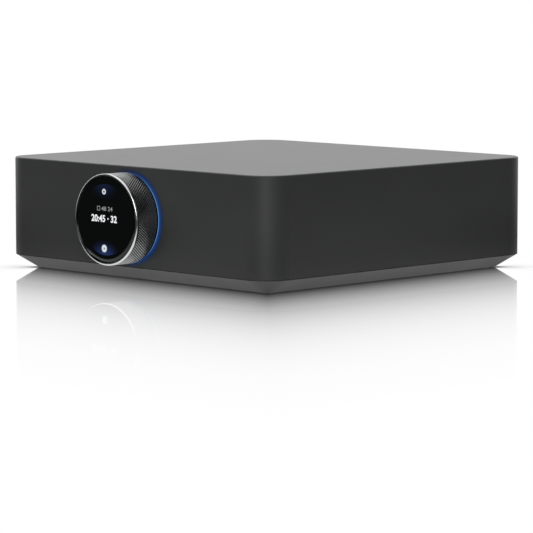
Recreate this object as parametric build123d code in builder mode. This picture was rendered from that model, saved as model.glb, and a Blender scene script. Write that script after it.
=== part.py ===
from build123d import *
import os
from math import cos, pi, sin

# A compact network stereo amplifier: a square aluminium case on a chamfered plinth, with one large
# knurled dial round a fixed display on its front and the sockets on its back.
# X runs to the right as seen from the front, Y to the back and Z up, in millimetres.
# The origin lies on the table under the middle of the case.

os.makedirs("parts", exist_ok=True)

# Case
case_width = 220.0
case_depth = 220.0
case_height = 65.8
corner_radius = 17.0
case_wall = 3.0
case_top = 3.5
edge_break = 0.5

# Plinth
plinth_height = 8.3
plinth_inset = 13.0
seam = 0.3
tray_floor = 2.6
tray_rim = 11.5
tray_corner = 9.0
lip_height = 4.0
lip_wall = 2.5
lip_clearance = 0.25
vent_width = 3.0
vent_length = 44.0
vent_pitch = 9.0
vent_columns = 7
vent_row_pitch = 100.0
vent_shift = 5.0

# Rubber feet
foot_radius = 13.0
foot_proud = 0.4
foot_sunk = 0.8
foot_inset = 32.0

# Screws that hold the plinth to the case
case_screw_inset = 19.0
case_boss_radius = 4.5
case_screw_radius = 1.5
case_screw_length = 14.0
case_screw_head = 2.8
thread_clearance = 0.05
hole_clearance = 0.2

# Rear window and panel
window_side = 22.0
window_height = 44.0
window_radius = 3.0
ledge_width = 5.0
ledge_depth = 3.0
ledge_border = 2.0
panel_thickness = 2.4
panel_clearance = 0.25
panel_screw_edge = 2.6
panel_screw_radius = 1.25
panel_screw_length = 5.0
panel_screw_head = 2.3
panel_screw_head_height = 1.4

# Dial, measured along its axis ahead of the case's front face
dial_drop = 0.5
dial_radius = 25.9
dial_back = 0.9
dial_front = 18.4
dial_wall = 1.1
collar_width = 2.2
knurl_depth = 0.4
knurl_starts = 72
knurl_rows = 10
neck_width = 0.5
land_drop = 0.45
web_back = 6.4
web_front = 13.5
running_fit = 0.05
dial_gap = 0.3

# Hub that carries the dial and the display
hub_radius = 17.0
hub_bore = 14.5
hub_length = 13.9
hub_flange_radius = 23.0
hub_flange = 3.0
hub_hole_clearance = 0.3
hub_screw_circle = 20.0
hub_screw_bite = 2.2
bushing_wall = 1.6
bushing_end_gap = 0.6
magnet_inner = 20.0
magnet_outer = 23.6
magnet_thickness = 2.0
trim_depth = 1.2
trim_edge = 0.4

# Display
frame_thickness = 1.4
frame_spigot = 4.0
display_radius = 21.5
display_thickness = 1.5
glass_thickness = 1.4
bevel_width = 2.2
bevel_drop = 0.7
ribbon_width = 12.0
ribbon_thickness = 0.3
ribbon_clearance = 0.2

# Light ring behind the dial
ring_radius = 23.2
ring_thickness = 3.6
ring_flange_radius = 25.7
ring_flange = 0.5
ring_wall = 1.2
ring_pocket = 1.8
ring_bore_clearance = 0.3
led_board_thickness = 1.0
led_board_clearance = 0.2
led_count = 12
led_size = 2.0
led_height = 0.6

# Control board behind the hub
control_board_size = 40.0
control_board_thickness = 1.6
control_post_pitch = 28.0
control_post_radius = 2.5
control_post_length = 3.0

# Inner screws, the same in the boards and the hub
inner_screw_radius = 1.25
inner_screw_length = 6.0
inner_screw_head = 2.2
inner_screw_head_height = 1.3

# Circuit boards
board_thickness = 1.6
board_over_sill = 6.05
board_front_inset = 18.0
board_back_inset = 9.0
board_side_inset = 25.0
board_gap = 3.0
amplifier_board_width = 44.0
main_board_length = 88.0
power_board_width = 30.0
standoff_radius = 3.0
standoff_inset = 5.0
standoff_back_inset = 18.0

# Mains inlet
inlet_inset = 16.5
inlet_width = 27.0
inlet_height = 20.0
inlet_chamfer = 4.5
inlet_wall = 1.4
inlet_depth = 19.5
inlet_cavity_depth = 16.5
inlet_flange_border = 1.5
inlet_flange = 2.0
inlet_flange_radius = 1.5
inlet_pin_width = 2.0
inlet_pin_height = 4.0
inlet_pin_length = 12.0
inlet_pin_pitch = 14.0
inlet_pin_step = 4.0

# Sockets on the main board, each standing a little out of the panel
socket_proud = 0.4
socket_clearance = 0.25
ethernet_inset = 10.5
ethernet_width = 16.0
ethernet_height = 13.4
ethernet_depth = 21.0
ethernet_wall = 1.6
ethernet_cavity_width = 11.8
ethernet_cavity_height = 6.8
ethernet_cavity_depth = 14.0
ethernet_latch_width = 6.0
ethernet_latch_height = 2.4
hdmi_spacing = 17.0
hdmi_width = 15.4
hdmi_height = 6.4
hdmi_depth = 12.0
hdmi_wall = 0.7
hdmi_chamfer = 1.6
hdmi_floor = 2.0
hdmi_tongue_width = 10.6
hdmi_tongue_thickness = 1.2
hdmi_tongue_length = 8.5
optical_spacing = 11.1
optical_width = 13.4
optical_height = 10.6
optical_depth = 17.0
optical_mouth_width = 8.6
optical_mouth_height = 8.2
optical_cavity_depth = 12.0
shutter_thickness = 0.8
shutter_clearance = 0.2
shutter_sunk = 0.6
shutter_pin_radius = 0.6
shutter_pin_reach = 1.0

# Phono sockets, two by two on one block
phono_inset = 17.0
phono_pitch = 14.0
phono_block_depth = 12.0
phono_block_border = 7.0
phono_radius = 4.15
phono_bore = 3.3
phono_length = 11.0
phono_insert_length = 9.5
phono_pin_bore = 1.6
phono_clearance = 0.25

# Setup button
button_spacing = 11.7
button_rise = 2.8
button_radius = 1.5
button_length = 5.2
button_collar_radius = 2.3
button_collar = 1.0
button_travel = 0.35
button_switch_width = 6.0
button_switch_height = 5.0
button_switch_depth = 5.0
button_clearance = 0.3

# Loudspeaker terminals
terminal_column_pitch = 22.0
terminal_row_pitch = 19.05
terminal_plate_border = 8.5
terminal_plate_thickness = 2.5
stud_radius = 3.9
stud_bore = 2.0
stud_bore_depth = 15.0
stud_reach = 16.5
stud_tail = 8.0
stud_clearance = 0.1
nut_across_corners = 13.0
nut_thickness = 3.0
washer_radius = 6.4
washer_thickness = 1.2
cap_radius = 7.2
cap_sides = 12
cap_length = 14.5
cap_chamfer = 0.9
cap_clearance = 0.3

# Parts on the amplifier board
amplifier_chip_size = 12.0
amplifier_chip_height = 2.0
amplifier_chip_pitch = 44.0
heatsink_inset = 9.0
heatsink_width = 38.0
heatsink_gap = 17.0
heatsink_base = 4.0
heatsink_fin_height = 22.0
heatsink_fin = 1.6
heatsink_fin_count = 8
inductor_inset = 57.0
inductor_size = 12.0
inductor_height = 10.0
inductor_pitch = 16.0
film_capacitor_inset = 32.0
film_capacitor_width = 13.0
film_capacitor_depth = 6.0
film_capacitor_height = 12.0

# Parts on the power board
transformer_gap = 28.0
transformer_inset = 54.0
core_width = 42.0
core_height = 32.0
core_depth = 16.0
core_limb = 6.5
winding_depth = 30.0
bulk_capacitor_radius = 10.0
bulk_capacitor_height = 34.0
bulk_capacitor_pitch = 24.0
bulk_capacitor_inset = 47.0
output_capacitor_inset = 16.0
output_capacitor_radius = 5.0
output_capacitor_height = 20.0
output_capacitor_pitch = 13.0
cooling_plate_gap = 9.0
cooling_plate_inset = 52.0
cooling_plate_length = 60.0
cooling_plate_height = 28.0
cooling_plate_foot = 6.0
cooling_plate_thickness = 2.5
transistor_width = 10.0
transistor_height = 15.0
transistor_thickness = 4.5
transistor_pitch = 22.0
choke_inset = 63.0
choke_size = 22.0
choke_height = 18.0
choke_limb = 5.0
fuse_inset = 33.0
fuse_radius = 2.6
fuse_length = 20.0

# Parts on the main board and behind the panel
module_width = 26.0
module_depth = 20.0
module_height = 2.8
module_inset = 59.0
processor_size = 14.0
processor_height = 1.4
chip_size = 7.0
chip_height = 1.0
chip_pitch = 22.0
chip_inset = 35.0
small_capacitor_radius = 3.0
small_capacitor_height = 7.0
small_capacitor_pitch = 10.0
small_capacitor_count = 6
small_capacitor_inset = 77.0
link_length = 16.0
link_width = 12.0
link_height = 8.0
link_inset = 41.0
antenna_width = 30.0
antenna_height = 6.0
antenna_thickness = 1.0
antenna_pitch = 42.0
antenna_x = 40.0
antenna_rise = 11.0

# Places worked out from the sizes above
front_y = -case_depth / 2
rear_y = case_depth / 2
face_middle = (plinth_height + case_height) / 2
dial_middle = face_middle - dial_drop
shell_bottom = plinth_height + seam
cavity_top = case_height - case_top
floor_top = foot_proud + tray_floor
case_screw_x = case_width / 2 - case_screw_inset
case_screw_y = case_depth / 2 - case_screw_inset
foot_x = case_width / 2 - foot_inset
foot_y = case_depth / 2 - foot_inset
window_width = case_width - 2 * window_side
window_bottom = face_middle - window_height / 2
frame_bottom = window_bottom - ledge_border
panel_out = panel_thickness - case_wall
panel_screw_pitch_x = window_width / 2 - panel_screw_edge
panel_screw_pitch_z = window_height - 2 * panel_screw_edge
board_top = window_bottom + board_over_sill
board_bottom = board_top - board_thickness
board_front = front_y + board_front_inset
board_back = rear_y - board_back_inset
board_right = case_width / 2 - board_side_inset
board_left = -board_right
main_left = board_left + amplifier_board_width + board_gap
power_left = board_right - power_board_width
main_right = power_left - board_gap
main_board_front = board_back - main_board_length
power_front_top = main_board_front - board_gap
inlet_x = board_right - inlet_inset
ethernet_x = main_right - ethernet_inset
hdmi_x = ethernet_x - hdmi_spacing
button_x = hdmi_x - button_spacing
optical_x = button_x - optical_spacing
phono_x = main_left + phono_inset
inlet_z = board_top + inlet_height / 2
ethernet_z = board_top + ethernet_height / 2
hdmi_z = board_top + hdmi_height / 2
optical_z = board_top + optical_height / 2
phono_z = board_top + phono_block_border + phono_pitch / 2
button_z = board_top + button_rise
socket_out = panel_out + socket_proud
bushing_outer = hub_radius + running_fit + bushing_wall
dial_bore = dial_radius - dial_wall
trim_back = dial_front - trim_depth
neck_back = trim_back - neck_width
collar_front = dial_back + collar_width
glass_radius = dial_bore - dial_gap
frame_front = hub_length + frame_thickness
display_front = frame_front + display_thickness
glass_front = display_front + glass_thickness
ring_bore = hub_radius + ring_bore_clearance
ring_groove_inner = ring_bore + ring_wall
ring_groove_outer = ring_radius - ring_wall
lamp_circle = (ring_groove_inner + ring_groove_outer) / 2
amplifier_x = board_left + amplifier_board_width / 2
terminal_x = amplifier_x
main_x = (main_left + main_right) / 2
power_x = (power_left + board_right) / 2
inductor_y = board_back - inductor_inset
inductor_front = inductor_y - (inductor_pitch + inductor_size) / 2
heatsink_front = board_front + heatsink_inset
heatsink_length = inductor_front - heatsink_gap - heatsink_front
heatsink_y = heatsink_front + heatsink_length / 2
film_capacitor_y = board_back - film_capacitor_inset
cooling_plate_x = power_left - cooling_plate_gap
cooling_plate_y = board_front + cooling_plate_inset
transformer_x = cooling_plate_x - transformer_gap
transformer_y = board_front + transformer_inset
bulk_capacitor_y = board_front + bulk_capacitor_inset
output_capacitor_x = main_left + output_capacitor_inset
choke_y = board_back - choke_inset
fuse_y = board_back - fuse_inset
module_y = board_back - module_inset
chip_y = board_back - chip_inset
small_capacitor_y = board_back - small_capacitor_inset
link_y = board_back - link_inset


def front_plane(ahead):
    """A plane facing forward on the dial's axis, this far ahead of the front face."""
    return Plane(origin=(0, front_y - ahead, dial_middle), x_dir=(1, 0, 0), z_dir=(0, -1, 0))


def rear_plane(x, z, out):
    """A plane facing backward round a point, this far out of the rear face."""
    return Plane(origin=(x, rear_y + out, z), x_dir=(-1, 0, 0), z_dir=(0, 1, 0))


def level(height):
    """A level plane at this height above the table."""
    return Plane.XY.offset(height)


def between(left, right, front, back):
    """A rectangle in the current sketch that runs between four lines."""
    with Locations(((left + right) / 2, (front + back) / 2)):
        Rectangle(right - left, back - front)


# The plane that holds the dial's axis: local x runs forward from the front face, y is the radius
turning_plane = Plane(origin=(0, front_y, dial_middle), x_dir=(0, -1, 0), z_dir=(-1, 0, 0))
dial_axis = Axis((0, front_y, dial_middle), (0, -1, 0))


# Case shell, one deep-drawn box open below, with the window for the rear panel; its edge stays a fine
# seam above the plinth, on which its four bosses stand
with BuildPart() as housing_shell:
    with BuildSketch(level(shell_bottom)):
        RectangleRounded(case_width, case_depth, corner_radius)
    extrude(amount=case_height - shell_bottom)
    chamfer(housing_shell.edges().group_by(Axis.Z)[-1], edge_break)
    with BuildSketch(level(shell_bottom)):
        RectangleRounded(case_width - 2 * case_wall, case_depth - 2 * case_wall, corner_radius - case_wall)
    extrude(amount=cavity_top - shell_bottom, mode=Mode.SUBTRACT)
    with BuildSketch(level(plinth_height)):
        with GridLocations(2 * case_screw_x, 2 * case_screw_y, 2, 2):
            Circle(case_boss_radius)
    extrude(amount=cavity_top - plinth_height)
    with BuildSketch(level(plinth_height)):
        with GridLocations(2 * case_screw_x, 2 * case_screw_y, 2, 2):
            Circle(case_screw_radius + thread_clearance)
    extrude(amount=case_screw_length, mode=Mode.SUBTRACT)
    with BuildSketch(rear_plane(0, frame_bottom, -case_wall)):
        Rectangle(
            window_width + 2 * ledge_border, cavity_top - frame_bottom, align=(Align.CENTER, Align.MIN)
        )
    extrude(amount=-ledge_depth)
    with BuildSketch(rear_plane(0, face_middle, 0)):
        RectangleRounded(window_width, window_height, window_radius)
    extrude(amount=-case_wall, mode=Mode.SUBTRACT)
    with BuildSketch(rear_plane(0, face_middle, -case_wall)):
        Rectangle(window_width - 2 * ledge_width, window_height - 2 * ledge_width)
    extrude(amount=-ledge_depth, mode=Mode.SUBTRACT)
    with BuildSketch(rear_plane(0, face_middle, -case_wall)):
        with GridLocations(panel_screw_pitch_x, panel_screw_pitch_z, 3, 2):
            Circle(panel_screw_radius + thread_clearance)
    extrude(amount=-ledge_depth, mode=Mode.SUBTRACT)
    with BuildSketch(front_plane(0)):
        Circle(hub_radius + hub_hole_clearance)
    extrude(amount=-case_wall, mode=Mode.SUBTRACT)
    with BuildSketch(front_plane(-case_wall)):
        with PolarLocations(hub_screw_circle, 4):
            Circle(inner_screw_radius + thread_clearance)
    extrude(amount=hub_screw_bite, mode=Mode.SUBTRACT)
housing_shell.part.label = "housing_shell"
export_step(housing_shell.part, "parts/housing_shell.step")

# Base tray: the chamfered plinth with its air slots and the lip that enters the case
with BuildPart() as base_tray:
    with BuildSketch(level(foot_proud)):
        RectangleRounded(
            case_width - 2 * plinth_inset, case_depth - 2 * plinth_inset, corner_radius - plinth_inset
        )
    with BuildSketch(level(plinth_height)):
        RectangleRounded(case_width, case_depth, corner_radius)
    loft(ruled=True)
    with BuildSketch(level(plinth_height)):
        RectangleRounded(
            case_width - 2 * (case_wall + lip_clearance),
            case_depth - 2 * (case_wall + lip_clearance),
            corner_radius - case_wall - lip_clearance,
        )
    extrude(amount=lip_height)
    with BuildSketch(level(floor_top)):
        RectangleRounded(case_width - 2 * tray_rim, case_depth - 2 * tray_rim, tray_corner)
    extrude(amount=plinth_height - floor_top, mode=Mode.SUBTRACT)
    with BuildSketch(level(plinth_height)):
        RectangleRounded(
            case_width - 2 * (case_wall + lip_clearance + lip_wall),
            case_depth - 2 * (case_wall + lip_clearance + lip_wall),
            corner_radius - case_wall - lip_clearance - lip_wall,
        )
    extrude(amount=lip_height, mode=Mode.SUBTRACT)
    with BuildSketch(level(floor_top)):
        with GridLocations(2 * case_screw_x, 2 * case_screw_y, 2, 2):
            Circle(case_boss_radius)
    extrude(amount=plinth_height - floor_top)
    with BuildSketch(level(foot_proud)):
        with GridLocations(2 * foot_x, 2 * foot_y, 2, 2):
            Circle(foot_radius + hole_clearance)
    extrude(amount=foot_sunk, mode=Mode.SUBTRACT)
    with BuildSketch(level(foot_proud)):
        with Locations((0, vent_shift)):
            with GridLocations(vent_pitch, vent_row_pitch, vent_columns, 2):
                SlotOverall(vent_length, vent_width, rotation=90)
    extrude(amount=tray_floor, mode=Mode.SUBTRACT)
    with Locations(level(foot_proud) * Rotation(180, 0, 0)):
        with GridLocations(2 * case_screw_x, 2 * case_screw_y, 2, 2):
            CounterSinkHole(
                case_screw_radius + hole_clearance,
                case_screw_head + hole_clearance,
                depth=plinth_height - foot_proud,
                counter_sink_angle=90,
            )
base_tray.part.label = "base_tray"
export_step(base_tray.part, "parts/base_tray.step")

# Rubber feet, glued into the tray's shallow seats
with BuildPart() as base_feet:
    with BuildSketch(level(0)):
        with GridLocations(2 * foot_x, 2 * foot_y, 2, 2):
            Circle(foot_radius)
    extrude(amount=foot_proud + foot_sunk)
base_feet.part.label = "base_feet"
export_step(base_feet.part, "parts/base_feet.step")

# Countersunk screws that hold the tray to the case
with BuildPart() as base_screws:
    with BuildSketch(level(foot_proud)):
        with GridLocations(2 * case_screw_x, 2 * case_screw_y, 2, 2):
            Circle(case_screw_radius)
    extrude(amount=case_screw_length)
    with BuildSketch(level(foot_proud)):
        with GridLocations(2 * case_screw_x, 2 * case_screw_y, 2, 2):
            Circle(case_screw_head)
    extrude(amount=case_screw_head - case_screw_radius, taper=45)
base_screws.part.label = "base_screws"
export_step(base_screws.part, "parts/base_screws.step")

# Rear panel, seated on the window's ledge, with an opening for every socket
with BuildPart() as rear_panel:
    with BuildSketch(rear_plane(0, face_middle, -case_wall)):
        RectangleRounded(
            window_width - 2 * panel_clearance, window_height - 2 * panel_clearance, window_radius
        )
        with GridLocations(panel_screw_pitch_x, panel_screw_pitch_z, 3, 2):
            Circle(panel_screw_radius + hole_clearance, mode=Mode.SUBTRACT)
    extrude(amount=panel_thickness)
    with BuildSketch(rear_plane(inlet_x, inlet_z, -case_wall)):
        Rectangle(inlet_width + 2 * socket_clearance, inlet_height + 2 * socket_clearance)
    extrude(amount=panel_thickness, mode=Mode.SUBTRACT)
    with BuildSketch(rear_plane(ethernet_x, ethernet_z, -case_wall)):
        Rectangle(ethernet_width + 2 * socket_clearance, ethernet_height + 2 * socket_clearance)
    extrude(amount=panel_thickness, mode=Mode.SUBTRACT)
    with BuildSketch(rear_plane(hdmi_x, hdmi_z, -case_wall)):
        Rectangle(hdmi_width + 2 * socket_clearance, hdmi_height + 2 * socket_clearance)
    extrude(amount=panel_thickness, mode=Mode.SUBTRACT)
    with BuildSketch(rear_plane(optical_x, optical_z, -case_wall)):
        Rectangle(optical_width + 2 * socket_clearance, optical_height + 2 * socket_clearance)
    extrude(amount=panel_thickness, mode=Mode.SUBTRACT)
    with BuildSketch(rear_plane(button_x, button_z, -case_wall)):
        Circle(button_radius + button_clearance)
    extrude(amount=panel_thickness, mode=Mode.SUBTRACT)
    with BuildSketch(rear_plane(phono_x, phono_z, -case_wall)):
        with GridLocations(phono_pitch, phono_pitch, 2, 2):
            Circle(phono_radius + phono_clearance)
    extrude(amount=panel_thickness, mode=Mode.SUBTRACT)
    with BuildSketch(rear_plane(terminal_x, face_middle, -case_wall)):
        with GridLocations(terminal_column_pitch, terminal_row_pitch, 2, 2):
            Circle(stud_radius + stud_clearance)
    extrude(amount=panel_thickness, mode=Mode.SUBTRACT)
rear_panel.part.label = "rear_panel"
export_step(rear_panel.part, "parts/rear_panel.step")

# Six screws that hold the rear panel to the ledge
with BuildPart() as panel_screws:
    with BuildSketch(rear_plane(0, face_middle, panel_out)):
        with GridLocations(panel_screw_pitch_x, panel_screw_pitch_z, 3, 2):
            Circle(panel_screw_radius)
    extrude(amount=-panel_screw_length)
    with BuildSketch(rear_plane(0, face_middle, panel_out)):
        with GridLocations(panel_screw_pitch_x, panel_screw_pitch_z, 3, 2):
            Circle(panel_screw_head)
    extrude(amount=panel_screw_head_height)
panel_screws.part.label = "panel_screws"
export_step(panel_screws.part, "parts/panel_screws.step")


def ring_section(start, end, inner, outer):
    """A rectangle in the turning plane: from start to end along the axis, inner to outer in radius."""
    with Locations((start, inner)):
        Rectangle(end - start, outer - inner, align=(Align.MIN, Align.MIN))


def knurled_sleeve(bore):
    """A tube along Z whose outside is a diamond knurl: peaks and valleys alternate round the tube and
    along it, and each four-sided patch between them is folded along its valley line."""
    around = 2 * knurl_starts
    step = 2 * pi / around
    rise = (neck_back - collar_front) / knurl_rows

    def corner(column, row):
        radius = dial_radius - knurl_depth * ((column + row) % 2)
        return (radius * cos(column * step), radius * sin(column * step), row * rise)

    faces = []
    for row in range(knurl_rows):
        for column in range(around):
            a = corner(column, row)
            b = corner(column + 1, row)
            c = corner(column + 1, row + 1)
            d = corner(column, row + 1)
            if (column + row) % 2 == 0:
                halves = ((a, b, d), (b, c, d))
            else:
                halves = ((a, b, c), (a, c, d))
            faces += [Face(Wire.make_polygon(half, close=True)) for half in halves]
    for row in (0, knurl_rows):
        star = Wire.make_polygon([corner(column, row) for column in range(around)], close=True)
        faces.append(Face(star, [Wire.make_circle(bore, level(row * rise))]))
    lining = Solid.make_cylinder(bore, knurl_rows * rise)
    faces += lining.faces().filter_by(GeomType.CYLINDER)
    return Solid(Shell(faces))


# Dial grip: a turned ring with a diamond knurl between a plain collar and a narrow neck, a web for its
# bearing and a recess at its front
with BuildPart() as dial_grip:
    with BuildSketch(turning_plane):
        ring_section(dial_back, collar_front, magnet_outer, dial_radius - land_drop)
        ring_section(neck_back, trim_back, dial_bore, dial_radius - land_drop)
        ring_section(dial_back, web_back, magnet_outer, dial_bore)
        ring_section(web_back, web_front, bushing_outer, dial_bore)
    revolve(axis=dial_axis)
    add(front_plane(collar_front) * knurled_sleeve(dial_bore))
dial_grip.part.label = "dial_grip"
export_step(dial_grip.part, "parts/dial_grip.step")

# Polished lip pressed on the front of the grip
with BuildPart() as dial_trim:
    with BuildSketch(turning_plane):
        ring_section(trim_back, dial_front, dial_bore, dial_radius)
    revolve(axis=dial_axis)
    chamfer(dial_trim.edges().group_by(Axis.Y)[0], trim_edge)
dial_trim.part.label = "dial_trim"
export_step(dial_trim.part, "parts/dial_trim.step")

# Plain bushing pressed in the grip, which runs on the hub
with BuildPart() as dial_bushing:
    with BuildSketch(turning_plane):
        ring_section(web_back, hub_length - bushing_end_gap, hub_radius + running_fit, bushing_outer)
    revolve(axis=dial_axis)
dial_bushing.part.label = "dial_bushing"
export_step(dial_bushing.part, "parts/dial_bushing.step")

# Magnet ring of the turning sensor, in the grip's back recess
with BuildPart() as encoder_magnet:
    with BuildSketch(turning_plane):
        ring_section(web_back - magnet_thickness, web_back, magnet_inner, magnet_outer)
    revolve(axis=dial_axis)
encoder_magnet.part.label = "encoder_magnet"
export_step(encoder_magnet.part, "parts/encoder_magnet.step")

# Fixed hub: a flange behind the front wall and a tube through it
with BuildPart() as dial_hub:
    with BuildSketch(turning_plane):
        ring_section(-case_wall - hub_flange, -case_wall, hub_bore, hub_flange_radius)
        ring_section(-case_wall, hub_length, hub_bore, hub_radius)
    revolve(axis=dial_axis)
    with BuildSketch(front_plane(-case_wall)):
        with PolarLocations(hub_screw_circle, 4):
            Circle(inner_screw_radius + hole_clearance)
    extrude(amount=-hub_flange, mode=Mode.SUBTRACT)
    with BuildSketch(front_plane(-case_wall - hub_flange)):
        with GridLocations(control_post_pitch, control_post_pitch, 2, 2):
            Circle(control_post_radius)
    extrude(amount=-control_post_length)
dial_hub.part.label = "dial_hub"
export_step(dial_hub.part, "parts/dial_hub.step")

# Display frame: a round plate on the hub's end, which also keeps the dial on
with BuildPart() as display_frame:
    with BuildSketch(turning_plane):
        ring_section(hub_length, frame_front, 0, glass_radius)
        ring_section(hub_length - frame_spigot, hub_length, 0, hub_bore)
    revolve(axis=dial_axis)
    with BuildSketch(front_plane(frame_front)):
        Rectangle(ribbon_width + 2 * ribbon_clearance, ribbon_thickness + 2 * ribbon_clearance)
    extrude(amount=-(frame_thickness + frame_spigot), mode=Mode.SUBTRACT)
display_frame.part.label = "display_frame"
export_step(display_frame.part, "parts/display_frame.step")

# Round display module
with BuildPart() as display_module:
    with BuildSketch(front_plane(frame_front)):
        Circle(display_radius)
    extrude(amount=display_thickness)
display_module.part.label = "display_module"
export_step(display_module.part, "parts/display_module.step")

# Cover glass over the display, flat in its middle with a wide bevel round it
with BuildPart() as cover_glass:
    with BuildSketch(turning_plane):
        with BuildLine():
            Polyline(
                (display_front, 0),
                (display_front, glass_radius),
                (glass_front - bevel_drop, glass_radius),
                (glass_front, glass_radius - bevel_width),
                (glass_front, 0),
                close=True,
            )
        make_face()
    revolve(axis=dial_axis)
cover_glass.part.label = "cover_glass"
export_step(cover_glass.part, "parts/cover_glass.step")

# Flat ribbon from the display through the hub to the control board
with BuildPart() as display_ribbon:
    with BuildSketch(front_plane(frame_front)):
        Rectangle(ribbon_width, ribbon_thickness)
    extrude(amount=-(frame_front + case_wall + hub_flange + control_post_length))
display_ribbon.part.label = "display_ribbon"
export_step(display_ribbon.part, "parts/display_ribbon.step")

# Translucent ring on the front face behind the dial, hollow at its back for the lamps, with a thin flange
# that carries the light out to the gap under the dial's collar
with BuildPart() as light_ring:
    with BuildSketch(turning_plane):
        ring_section(0, ring_thickness, ring_bore, ring_radius)
        ring_section(0, ring_flange, ring_radius, ring_flange_radius)
        with Locations((0, ring_groove_inner)):
            Rectangle(
                ring_pocket,
                ring_groove_outer - ring_groove_inner,
                align=(Align.MIN, Align.MIN),
                mode=Mode.SUBTRACT,
            )
    revolve(axis=dial_axis)
light_ring.part.label = "light_ring"
export_step(light_ring.part, "parts/light_ring.step")

# Ring-shaped lamp board in the light ring's hollow
with BuildPart() as lamp_board:
    with BuildSketch(front_plane(0)):
        Circle(ring_groove_outer - led_board_clearance)
        Circle(ring_groove_inner + led_board_clearance, mode=Mode.SUBTRACT)
    extrude(amount=led_board_thickness)
lamp_board.part.label = "lamp_board"
export_step(lamp_board.part, "parts/lamp_board.step")

# Lamps, evenly spaced round the lamp board
with BuildPart() as ring_lamps:
    with BuildSketch(front_plane(led_board_thickness)):
        with PolarLocations(lamp_circle, led_count):
            Rectangle(led_size, led_size)
    extrude(amount=led_height)
ring_lamps.part.label = "ring_lamps"
export_step(ring_lamps.part, "parts/ring_lamps.step")

# Control board on the hub's four posts
control_board_out = -(case_wall + hub_flange + control_post_length)
with BuildPart() as control_board:
    with BuildSketch(front_plane(control_board_out)):
        Rectangle(control_board_size, control_board_size)
    extrude(amount=-control_board_thickness)
control_board.part.label = "control_board"
export_step(control_board.part, "parts/control_board.step")

# Standing posts under the boards' corners, as left, right, front and back edges of each board
board_corners = {
    "amplifier_board": (board_left, board_left + amplifier_board_width, board_front, board_back),
    "main_board": (main_left, main_right, main_board_front, board_back),
    "power_board": (power_left, board_right, board_front, board_back),
}
post_places = []
for left, right, front, back in board_corners.values():
    for x in (left + standoff_inset, right - standoff_inset):
        for y in (front + standoff_inset, back - standoff_back_inset):
            post_places.append((x, y))
post_places.append((main_left + standoff_inset, board_front + standoff_inset))
post_places.append((main_left + standoff_inset, power_front_top - standoff_inset))

with BuildPart() as board_posts:
    with BuildSketch(level(floor_top)):
        with Locations(*post_places):
            Circle(standoff_radius)
    extrude(amount=board_bottom - floor_top)
    with BuildSketch(level(board_bottom)):
        with Locations(*post_places):
            Circle(inner_screw_radius + thread_clearance)
    extrude(amount=-inner_screw_length, mode=Mode.SUBTRACT)
board_posts.part.label = "board_posts"
export_step(board_posts.part, "parts/board_posts.step")

# Inner screws: one in each post through its board, and four from inside through the hub's flange
with BuildPart() as inner_screws:
    with BuildSketch(level(board_top)):
        with Locations(*post_places):
            Circle(inner_screw_radius)
    extrude(amount=-inner_screw_length)
    with BuildSketch(level(board_top)):
        with Locations(*post_places):
            Circle(inner_screw_head)
    extrude(amount=inner_screw_head_height)
    with BuildSketch(front_plane(-case_wall - hub_flange)):
        with PolarLocations(hub_screw_circle, 4):
            Circle(inner_screw_radius)
    extrude(amount=hub_flange + hub_screw_bite)
    with BuildSketch(front_plane(-case_wall - hub_flange)):
        with PolarLocations(hub_screw_circle, 4):
            Circle(inner_screw_head)
    extrude(amount=-inner_screw_head_height)
inner_screws.part.label = "inner_screws"
export_step(inner_screws.part, "parts/inner_screws.step")

# Amplifier board, along the left side
with BuildPart() as amplifier_board:
    with BuildSketch(level(board_bottom)):
        between(*board_corners["amplifier_board"])
    extrude(amount=board_thickness)
    with BuildSketch(level(board_bottom)):
        with Locations(*post_places[:4]):
            Circle(inner_screw_radius + hole_clearance)
    extrude(amount=board_thickness, mode=Mode.SUBTRACT)
amplifier_board.part.label = "amplifier_board"
export_step(amplifier_board.part, "parts/amplifier_board.step")

# Main board, behind the sockets in the middle
with BuildPart() as main_board:
    with BuildSketch(level(board_bottom)):
        between(*board_corners["main_board"])
    extrude(amount=board_thickness)
    with BuildSketch(level(board_bottom)):
        with Locations(*post_places[4:8]):
            Circle(inner_screw_radius + hole_clearance)
    extrude(amount=board_thickness, mode=Mode.SUBTRACT)
main_board.part.label = "main_board"
export_step(main_board.part, "parts/main_board.step")

# Power board, an L along the right side and across the front
with BuildPart() as power_board:
    with BuildSketch(level(board_bottom)):
        between(*board_corners["power_board"])
        between(main_left, board_right, board_front, power_front_top)
    extrude(amount=board_thickness)
    with BuildSketch(level(board_bottom)):
        with Locations(*post_places[8:]):
            Circle(inner_screw_radius + hole_clearance)
    extrude(amount=board_thickness, mode=Mode.SUBTRACT)
power_board.part.label = "power_board"
export_step(power_board.part, "parts/power_board.step")

# Mains inlet, on the power board and through the panel, with its flange outside
with BuildPart() as mains_inlet:
    with BuildSketch(rear_plane(inlet_x, inlet_z, panel_out)) as inlet_body:
        Rectangle(inlet_width, inlet_height)
        chamfer(inlet_body.vertices().group_by(Axis.Y)[-1], inlet_chamfer)
    extrude(amount=-inlet_depth)
    with BuildSketch(rear_plane(inlet_x, inlet_z, panel_out)):
        RectangleRounded(
            inlet_width + 2 * inlet_flange_border, inlet_height + 2 * inlet_flange_border, inlet_flange_radius
        )
    extrude(amount=inlet_flange)
    with BuildSketch(rear_plane(inlet_x, inlet_z, panel_out + inlet_flange)) as inlet_cavity:
        Rectangle(inlet_width - 2 * inlet_wall, inlet_height - 2 * inlet_wall)
        chamfer(inlet_cavity.vertices().group_by(Axis.Y)[-1], inlet_chamfer - inlet_wall / 2)
    extrude(amount=-inlet_cavity_depth, mode=Mode.SUBTRACT)
mains_inlet.part.label = "mains_inlet"
export_step(mains_inlet.part, "parts/mains_inlet.step")

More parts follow.
